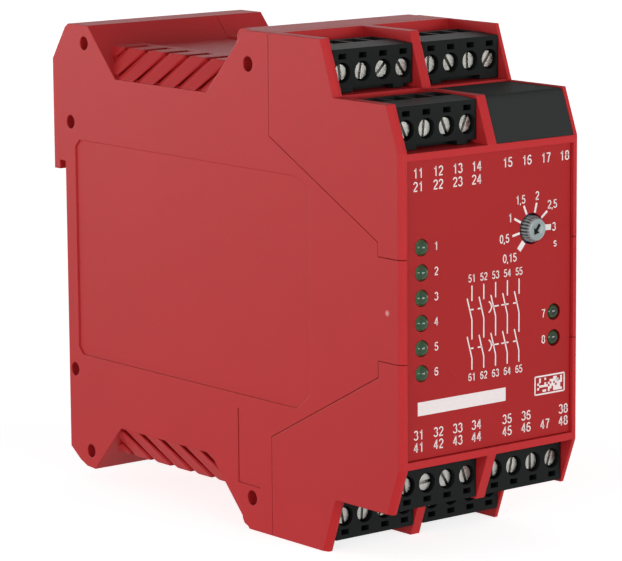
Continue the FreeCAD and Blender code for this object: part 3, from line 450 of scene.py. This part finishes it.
# ---------------------------------------------------------------- louvre lips
# The front edge of each louvre rolls forward over most of the slot before it, so that only a fine gap shows. The
# lips belong to the shell mouldings and are of the same red polyamide.
# the louvres as the shells carry them, in mm: heights from the middle, depths from the rail face
HALF_WIDTH = -cad_low.x / MM
VALLEY_Z = 36.25
CROWN_RISE = 6.25
SIDE_RUN = 3.4
RAKE = 6.4
FIRST_SLOT_Y = -10.0
SLOT_PITCH = 6.95
SLOT_W = 1.7
SLOT_END_X = 13.3
SLOT_COUNT = 6
LUG_SLOPE = (-18.2, 0.922)       # depth of the lug's slope at the valley edge, and its run for each mm of rise
LIP_REACH = 1.15
LIP_T = 0.6
LIP_LAP = 0.1                    # how far a lip starts behind its slot, on the louvre itself
LIP_INSET = 0.06                 # and how far it stands in from the side plate
LIP_LIFT = 0.02
LUG_LAP = 0.15                   # a lip that the lug cuts short runs this far into it


def louvre_lip(slot_y, side, end):
    """A bar of even section that follows the louvre's front edge: from the valley edge, or from the lug's slope
    where that cuts the louvre short, straight up the raked side to the crown and then inwards; side and end are
    1 or -1 and mirror it across the width and the height.
    """
    length = math.hypot(CROWN_RISE, SIDE_RUN)
    rear = slot_y + SLOT_W / 2
    y = np.array([rear + LIP_LAP, rear - LIP_REACH, rear - LIP_REACH, rear + LIP_LAP])
    sink = np.array([0.0, 0.0, LIP_T, LIP_T])
    foot = np.stack([-HALF_WIDTH + LIP_INSET + sink * length / CROWN_RISE, y, np.full(4, VALLEY_Z + LIP_LIFT)], -1)
    kink = np.stack([-HALF_WIDTH + SIDE_RUN + sink * (length - SIDE_RUN) / CROWN_RISE, y - RAKE,
                     VALLEY_Z + CROWN_RISE - sink], -1)
    inner = kink.copy()
    inner[:, 0] = -SLOT_END_X
    met = (rear - LUG_SLOPE[0]) / (RAKE / CROWN_RISE + LUG_SLOPE[1]) - LUG_LAP
    start = foot + (kink - foot) * max(met, 0.0) / CROWN_RISE
    points = np.vstack([start, kink, inner]) * (side, 1, end) * MM
    ring = np.arange(4)
    following = (ring + 1) % 4
    walls = [np.stack([ring + k, following + k, following + k + 4, ring + k + 4], -1) for k in (0, 4)]
    faces = np.vstack(walls + [[[3, 2, 1, 0], [8, 9, 10, 11]]])
    mesh = bpy.data.meshes.new("louvre_lip")
    mesh.from_pydata(points.tolist(), [], faces.tolist())
    return mesh


slot_depths = [FIRST_SLOT_Y - i * SLOT_PITCH for i in range(SLOT_COUNT)]
joined("louvre_lips", [louvre_lip(y, side, end) for y in slot_depths for side in (1, -1) for end in (1, -1)],
       red_polyamide, "housing", smooth_degrees=20.0)

# ---------------------------------------------------------------- label plate and its print
# A red plate, a shade darker than the housing, set down inside the rim and screen printed with off-white ink
# that stands a few hundredths of a millimetre proud. Terminals and lamps carry plain numbers.
# satin film over the plate: even in colour, with a softer shine than paint and a few pale specks of dust
label_red = moulded_plastic("label plate, satin film", "#A21E20", 0.5, 0.3, 0.006, 0.08, cloud=0.04,
                            fleck=0.2, fleck_colour="#D98A8A")
finish_with(label_red, "label_plate")
INK_T = 0.03 * MM


def screen_ink(name, colour):
    """Screen ink: matt, with its tone a little uneven."""
    material, tree = new_material(name)
    place = add(tree, "TexCoord").outputs["Object"]
    cover = add(tree, "TexNoise", {"Vector": place, "Scale": 1 / (0.5 * MM), "Detail": 3.0})
    tone = add(tree, "Mix", {"Factor": cover.outputs["Fac"], "A": shade(colour, 0.88), "B": shade(colour, 1.06)},
               data_type="RGBA")
    shader = add(tree, "BsdfPrincipled", {"Base Color": tone.outputs["Result"], "Roughness": 0.55, "IOR": 1.5})
    add(tree, "OutputMaterial", {"Surface": shader.outputs["BSDF"]})
    return material


ink = screen_ink("off-white screen ink", "#EDE3E2")


def arc(x, z, reach_x, reach_z, start, end, count=16):
    """Points on an ellipse from one angle to another, in degrees."""
    turn = np.radians(np.linspace(start, end, count))
    return np.stack([x + reach_x * np.cos(turn), z + reach_z * np.sin(turn)], -1)


MITRE_LIMIT = 0.6                # keeps a sharp corner from running out into a spike


def ribbon(path, width):
    """Ink of an even width along a path of (x, z) points in mm: each point moves half the width either way along
    the mean of its neighbours' normals, and a path that ends where it starts is closed.
    """
    path = np.asarray(path, float)
    closed = np.allclose(path[0], path[-1])
    if closed:
        path = path[:-1]
        ahead = np.roll(path, -1, 0) - path
        behind = path - np.roll(path, 1, 0)
    else:
        leg = np.diff(path, axis=0)
        ahead = np.vstack([leg, leg[-1:]])
        behind = np.vstack([leg[:1], leg])
    ahead = ahead / np.linalg.norm(ahead, axis=1)[:, None]
    behind = behind / np.linalg.norm(behind, axis=1)[:, None]
    mean = ahead + behind
    mean = mean / np.linalg.norm(mean, axis=1)[:, None]
    spread = width / 2 / np.maximum((mean * ahead).sum(1), MITRE_LIMIT)
    side = np.stack([-mean[:, 1], mean[:, 0]], -1) * spread[:, None]
    corners = np.stack([path - side, path + side, path + side, path - side], 1) * MM
    depth = np.broadcast_to([PLATE_FRONT - INK_T, PLATE_FRONT - INK_T, PLATE_FRONT, PLATE_FRONT], corners.shape[:2])
    points = np.stack([corners[..., 0], depth, corners[..., 1]], -1).reshape(-1, 3)
    count = len(path)
    here = np.arange(count if closed else count - 1)[:, None] * 4
    there = (here + 4) % (4 * count)
    edge = np.arange(4)
    following = (edge + 1) % 4
    walls = np.stack([here + edge, here + following, there + following, there + edge], -1)
    walls = walls.reshape(-1, 4).tolist()
    if not closed:
        last = 4 * (count - 1)
        walls += [[3, 2, 1, 0], [last, last + 1, last + 2, last + 3]]
    mesh = bpy.data.meshes.new("ribbon")
    mesh.from_pydata(points.tolist(), [], walls)
    return mesh


# plain upright numerals drawn with one pen, in a box 0.66 wide and 1 high
LOOP = arc(0.33, 0.31, 0.25, 0.25, 0, 360, 25)
HOOK = np.vstack([arc(0.35, 0.5, 0.27, 0.44, 45, 180), [(0.08, 0.31)]])
NUMERALS = {
    "0": [arc(0.33, 0.5, 0.25, 0.44, 0, 360, 29)],
    "1": [[(0.14, 0.75), (0.29, 0.79), (0.38, 0.93)], [(0.39, 1.0), (0.39, 0.0)]],
    "2": [np.vstack([arc(0.33, 0.7, 0.25, 0.24, 170, -35), [(0.08, 0.08)]]), [(0.06, 0.06), (0.6, 0.06)]],
    "3": [arc(0.32, 0.73, 0.22, 0.21, 165, -90), arc(0.32, 0.29, 0.26, 0.235, 90, -165)],
    "4": [[(0.45, 0.0), (0.45, 0.98)], [(0.43, 0.94), (0.06, 0.3)], [(0.02, 0.29), (0.63, 0.29)]],
    "5": [[(0.56, 0.94), (0.15, 0.94)], [(0.16, 0.97), (0.11, 0.5)], arc(0.32, 0.32, 0.26, 0.265, 140, -160)],
    "6": [LOOP, HOOK],
    "7": [[(0.06, 0.94), (0.61, 0.94)], [(0.59, 0.93), (0.38, 0.55), (0.26, 0.0)]],
    "8": [arc(0.33, 0.73, 0.21, 0.21, 0, 360, 25), arc(0.33, 0.29, 0.25, 0.235, 0, 360, 25)],
    "9": [(0.66, 1.0) - LOOP, (0.66, 1.0) - HOOK],
    ",": [[(0.1, 0.1), (0.03, -0.14)]],
    "s": [np.vstack([arc(0.3, 0.535, 0.19, 0.15, 20, 270), arc(0.3, 0.235, 0.21, 0.15, 90, -160)])],
}
PEN = 0.13
NUMERAL_STEP = 0.76
COMMA_STEP = 0.3


def numerals(text, x, z, cap, width=1.0):
    """Ribbons of a number of a cap height in mm, centred at (x, z) mm; width narrows or widens it."""
    steps = [COMMA_STEP if sign == "," else NUMERAL_STEP for sign in text]
    starts = np.cumsum([0.0] + steps[:-1]) - (sum(steps) - 0.1) / 2
    scale = np.array([cap * width, cap])
    meshes = []
    for sign, start in zip(text, starts):
        for path in NUMERALS[sign]:
            meshes.append(ribbon((np.asarray(path) + (start, -0.5)) * scale + (x, z), PEN * cap))
    return meshes


def numbers(labels, cap, width=1.0):
    """All ribbons of several numbers, each given as (text, x, z)."""
    return [mesh for text, x, z in labels for mesh in numerals(text, x, z, cap, width)]


def strokes(starts, ends, width):
    """Straight ink lines between points (x, z) in mm: a flat bar of the given width along each."""
    a = np.array(starts, float)
    b = np.array(ends, float)
    along = (b - a) / np.linalg.norm(b - a, axis=1)[:, None]
    across = np.stack([-along[:, 1], along[:, 0]], -1) * np.reshape(width, (-1, 1)) / 2
    ring = np.stack([a - across, b - across, b + across, a + across], 1) * MM
    front = np.insert(ring, 1, PLATE_FRONT - INK_T, axis=2)
    back = np.insert(ring, 1, PLATE_FRONT, axis=2)
    points = np.concatenate([front, back], 1)
    faces = np.array([[0, 1, 2, 3], [7, 6, 5, 4], [0, 4, 5, 1], [1, 5, 6, 2], [2, 6, 7, 3], [3, 7, 4, 0]])
    faces = (faces[None] + 8 * np.arange(len(a))[:, None, None]).reshape(-1, 4)
    mesh = bpy.data.meshes.new("strokes")
    mesh.from_pydata(points.reshape(-1, 3).tolist(), [], faces.tolist())
    return mesh


# places on the plate are in mm from its middle, x to the right and z up
# terminal numbers: two rows at the top, two at the bottom, over or under the terminals they name
TERMINAL_X = [-17.6, -12.7, -7.9, -3.2, 4.6, 9.5, 14.4, 19.2]
TERMINAL_CAP = 1.85
NUMBER_WIDTH = 0.92
ROW_Z = (25.9, 23.4, -23.5, -25.85)
LEFT_BAY = 4                     # only the terminals of the left bay have a second row at the top
UNNAMED = 6                      # and one terminal has a single number at the bottom
rows = [(str(11 + i), x, ROW_Z[0]) for i, x in enumerate(TERMINAL_X)]
rows += [(str(21 + i), x, ROW_Z[1]) for i, x in enumerate(TERMINAL_X[:LEFT_BAY])]
rows += [(str(31 + i), x, ROW_Z[2]) for i, x in enumerate(TERMINAL_X) if i != UNNAMED]
rows += [(str(41 + i), x, ROW_Z[3]) for i, x in enumerate(TERMINAL_X)]
joined("printed_terminal_numbers", numbers(rows, TERMINAL_CAP, NUMBER_WIDTH), ink, "housing")

# lamp numbers, to the right of the left lamps and to the left of the right ones
LAMP_CAP = 1.6
LEFT_NUMBER_X = -13.2
RIGHT_NUMBER_X = 13.9
rows = [(str(1 + i), LEFT_NUMBER_X, z) for i, z in enumerate(LEFT_LAMP_Z)]
rows += [(str(7 + i), RIGHT_NUMBER_X, z) for i, z in enumerate(RIGHT_LAMP_Z)]
joined("printed_lamp_numbers", numbers(rows, LAMP_CAP, NUMBER_WIDTH), ink, "housing")

# time scale: seven ticks round the knob, the end ones broad, each with its number
DIAL_X = 10.75
DIAL_Z = 12.6
TICK_FIRST = 229.5
TICK_STEP = 38.58
TICK_FROM = 3.1
TICK_TO = 5.0
TICK_ANGLES = np.radians(TICK_FIRST - TICK_STEP * np.arange(7))
TICK_WIDTHS = np.array([1.1, 0.45, 0.45, 0.45, 0.45, 0.45, 1.1])
DIAL_CAP = 1.65
DIAL_WIDTH = 0.86
DIAL_NUMBERS = (("0,15", 5.2, 7.54), ("0,5", 3.83, 11.36), ("1", 5.3, 15.2), ("1,5", 7.92, 18.44),
                ("2", 12.19, 18.82), ("2,5", 16.08, 16.83), ("3", 16.54, 12.43), ("s", 16.9, 9.3))
hub = np.array([DIAL_X, DIAL_Z])
rays = np.stack([np.cos(TICK_ANGLES), np.sin(TICK_ANGLES)], -1)
scale_marks = [strokes(hub + TICK_FROM * rays, hub + TICK_TO * rays, TICK_WIDTHS)]
scale_marks += numbers(DIAL_NUMBERS, DIAL_CAP, DIAL_WIDTH)
joined("printed_time_scale", scale_marks, ink, "housing")

# contact diagram: five columns of two contacts in series, linked by a dashed line, one with a delay mark
COLUMN_X = -4.36 + 2.985 * np.arange(5)
LINE = 0.28
ARM_OUT = 1.2                    # the moving arm of a contact starts this far left of its column
# one column from the top: lead, arm, link to the second contact, its arm, lead; (offset x, z) at each end
COLUMN = (((0, 3.35), (0, 0.4)), ((-ARM_OUT, 1.0), (0, -3.17)), ((0, -3.17), (0, -6.95)),
          ((-ARM_OUT, -6.3), (0, -10.55)), ((0, -10.55), (0, -12.77)))
LINK_Z = (-1.25, -8.65)
DASHES = ((-0.5, 0.4), (-1.5, -0.5), (-0.9, 0.8), (-1.5, 0.3), (-1.5, -0.5))
DELAY_COLUMN = 2
DELAY_LEFT = 2.2
DELAY_R = 1.15
DELAY_BEND = 1.15                # radians either side of level
DIAGRAM_CAP = 1.5
DIAGRAM_WIDTH = 0.84
DIAGRAM_TOP_Z = 4.75
DIAGRAM_BOTTOM_Z = -14.15
starts = [(x + top, z) for x in COLUMN_X for (top, z), _ in COLUMN]
ends = [(x + bottom, z) for x in COLUMN_X for _, (bottom, z) in COLUMN]
starts += [(x + left, z) for z in LINK_Z for x, (left, _) in zip(COLUMN_X, DASHES)]
ends += [(x + right, z) for z in LINK_Z for x, (_, right) in zip(COLUMN_X, DASHES)]
diagram = [strokes(starts, ends, LINE)]
bend = np.linspace(-DELAY_BEND, DELAY_BEND, 9)
for z in LINK_Z:
    bow = np.stack([COLUMN_X[DELAY_COLUMN] - DELAY_LEFT + DELAY_R * np.cos(bend), z + DELAY_R * np.sin(bend)], -1)
    diagram.append(strokes(bow[:-1], bow[1:], LINE))
rows = [(str(51 + i), x, DIAGRAM_TOP_Z) for i, x in enumerate(COLUMN_X)]
rows += [(str(61 + i), x, DIAGRAM_BOTTOM_Z) for i, x in enumerate(COLUMN_X)]
diagram += numbers(rows, DIAGRAM_CAP, DIAGRAM_WIDTH)
joined("printed_contact_diagram", diagram, ink, "housing")

# a blank marking strip, and a framed field of plain blocks placed by chance, which encode nothing
CODE_X = np.array([11.8, 19.4])
CODE_Z = np.array([-19.9, -16.4])
corners = np.array([[CODE_X[0], CODE_Z[0]], [CODE_X[1], CODE_Z[0]], [CODE_X[1], CODE_Z[1]], [CODE_X[0], CODE_Z[1]]])
FRAME_LINE = 0.3
CELL = 0.46
CELL_COLUMNS = 14
CELL_ROWS = 6
CELL_MARGIN = (0.58, 0.60)
CELL_SHARE = 0.52
STRIP_X = (-17.8, 4.2)
STRIP_Z = -18.6
STRIP_H = 2.6
draw = np.random.default_rng(7)
across, up = np.meshgrid(np.arange(CELL_COLUMNS), np.arange(CELL_ROWS))
chosen = draw.random(across.shape) < CELL_SHARE
cell_x = CODE_X[0] + CELL_MARGIN[0] + CELL * across[chosen]
cell_z = CODE_Z[0] + CELL_MARGIN[1] + CELL * up[chosen]
fields = [strokes(corners, np.roll(corners, -1, 0), FRAME_LINE),
          strokes(np.stack([cell_x, cell_z], -1), np.stack([cell_x + CELL, cell_z], -1), CELL),
          strokes([(STRIP_X[0], STRIP_Z)], [(STRIP_X[1], STRIP_Z)], STRIP_H)]
joined("printed_fields", fields, ink, "housing")

# ---------------------------------------------------------------- floor, light and camera
# A plain pale floor, five soft boxes round the object and a faint even surround. The camera stands in front, to the
# left and a little above, with a long lens.
FLOOR_GLOW = 0.75                # light that the floor shows only to the camera, mirrors and clear resin
SURROUND = 0.12
FLOOR_HALF = 12
FLOOR_Z = cad_low.z


def seen_ray(tree):
    """1 for rays that show the background: from the camera, in a mirror, or through clear resin."""
    path = add(tree, "LightPath")
    mirrored = add(tree, "Math", {0: path.outputs["Is Camera Ray"], 1: path.outputs["Is Glossy Ray"]},
                   operation="MAXIMUM")
    through = add(tree, "Math", {0: mirrored.outputs["Value"], 1: path.outputs["Is Transmission Ray"]},
                  operation="MAXIMUM")
    return through.outputs["Value"]


floor_mesh = bpy.data.meshes.new("floor")
floor_mesh.from_pydata([(x * FLOOR_HALF, y * FLOOR_HALF, FLOOR_Z) for x, y in ((-1, -1), (1, -1), (1, 1), (-1, 1))],
                       [], [(0, 1, 2, 3)])
floor = bpy.data.objects.new("floor", floor_mesh)
bpy.context.scene.collection.objects.link(floor)
floor_paint, tree = new_material("pale floor")
mottle = add(tree, "TexNoise", {"Vector": add(tree, "TexCoord").outputs["Object"], "Scale": 3.0})
pale = add(tree, "Mix", {"Factor": mottle.outputs["Fac"], "A": linear("#F6F6F6"), "B": linear("#FAFAFA")},
           data_type="RGBA")
matt = add(tree, "BsdfDiffuse", {"Color": pale.outputs["Result"]})
strength = add(tree, "Math", {0: seen_ray(tree), 1: FLOOR_GLOW}, operation="MULTIPLY")
glow = add(tree, "Emission", {"Color": (1, 1, 1, 1), "Strength": strength.outputs["Value"]})
both = add(tree, "AddShader", {0: matt.outputs["BSDF"], 1: glow.outputs["Emission"]})
add(tree, "OutputMaterial", {"Surface": both.outputs["Shader"]})
floor_mesh.materials.append(floor_paint)

world = bpy.data.worlds.new("studio")
bpy.context.scene.world = world
world.use_nodes = True
tree = world.node_tree
tree.nodes.clear()
level = add(tree, "MapRange", {"Value": seen_ray(tree), "To Min": SURROUND, "To Max": 1.0})
sky = add(tree, "Background", {"Color": (1, 1, 1, 1), "Strength": level.outputs["Result"]})
add(tree, "OutputWorld", {"Surface": sky.outputs["Background"]})

AIM = Vector((0.0249, -0.0222, -0.0101))
BOX_WIDTH = 0.9
BOX_HEIGHT = 0.4


def soft_box(name, place, power):
    """A wide rectangular area lamp at a place, facing the object."""
    lamp = bpy.data.lights.new(name, "AREA")
    lamp.shape = "RECTANGLE"
    lamp.size = BOX_WIDTH
    lamp.size_y = BOX_HEIGHT
    lamp.energy = power
    holder = bpy.data.objects.new(name, lamp)
    holder.location = place
    holder.rotation_euler = (AIM - Vector(place)).to_track_quat("-Z", "Y").to_euler()
    bpy.context.scene.collection.objects.link(holder)


soft_box("left box", (-1.1, -0.5, 0.1), 7.2)
soft_box("front box", (0.15, -1.3, 0.1), 10.8)
soft_box("left back box", (-0.9, 0.95, 0.1), 6.6)
soft_box("right box", (1.2, 0.2, 0.0), 7.0)
soft_box("back box", (0.1, 1.35, 0.0), 8.0)


AZIMUTH = math.radians(-38.697)
ELEVATION = math.radians(9.832)
ROLL = math.radians(-0.436)
DISTANCE = 0.71941
LENS = 195.3
SENSOR = 36.0
back = Vector((math.sin(AZIMUTH) * math.cos(ELEVATION), -math.cos(AZIMUTH) * math.cos(ELEVATION),
               math.sin(ELEVATION)))
right = (-back).cross(Vector((0, 0, 1))).normalized()
upward = right.cross(-back)
turn_right = right * math.cos(ROLL) + upward * math.sin(ROLL)
turn_up = upward * math.cos(ROLL) - right * math.sin(ROLL)
lens = bpy.data.cameras.new("camera")
lens.lens = LENS
lens.sensor_width = SENSOR
lens.clip_start = 0.01
lens.clip_end = 50.0
camera = bpy.data.objects.new("camera", lens)
bpy.context.scene.collection.objects.link(camera)
stand = AIM + back * DISTANCE
camera.matrix_world = Matrix(((turn_right.x, turn_up.x, back.x, stand.x), (turn_right.y, turn_up.y, back.y, stand.y),
                              (turn_right.z, turn_up.z, back.z, stand.z), (0, 0, 0, 1)))
bpy.context.scene.camera = camera
bpy.context.scene.view_settings.view_transform = "Standard"
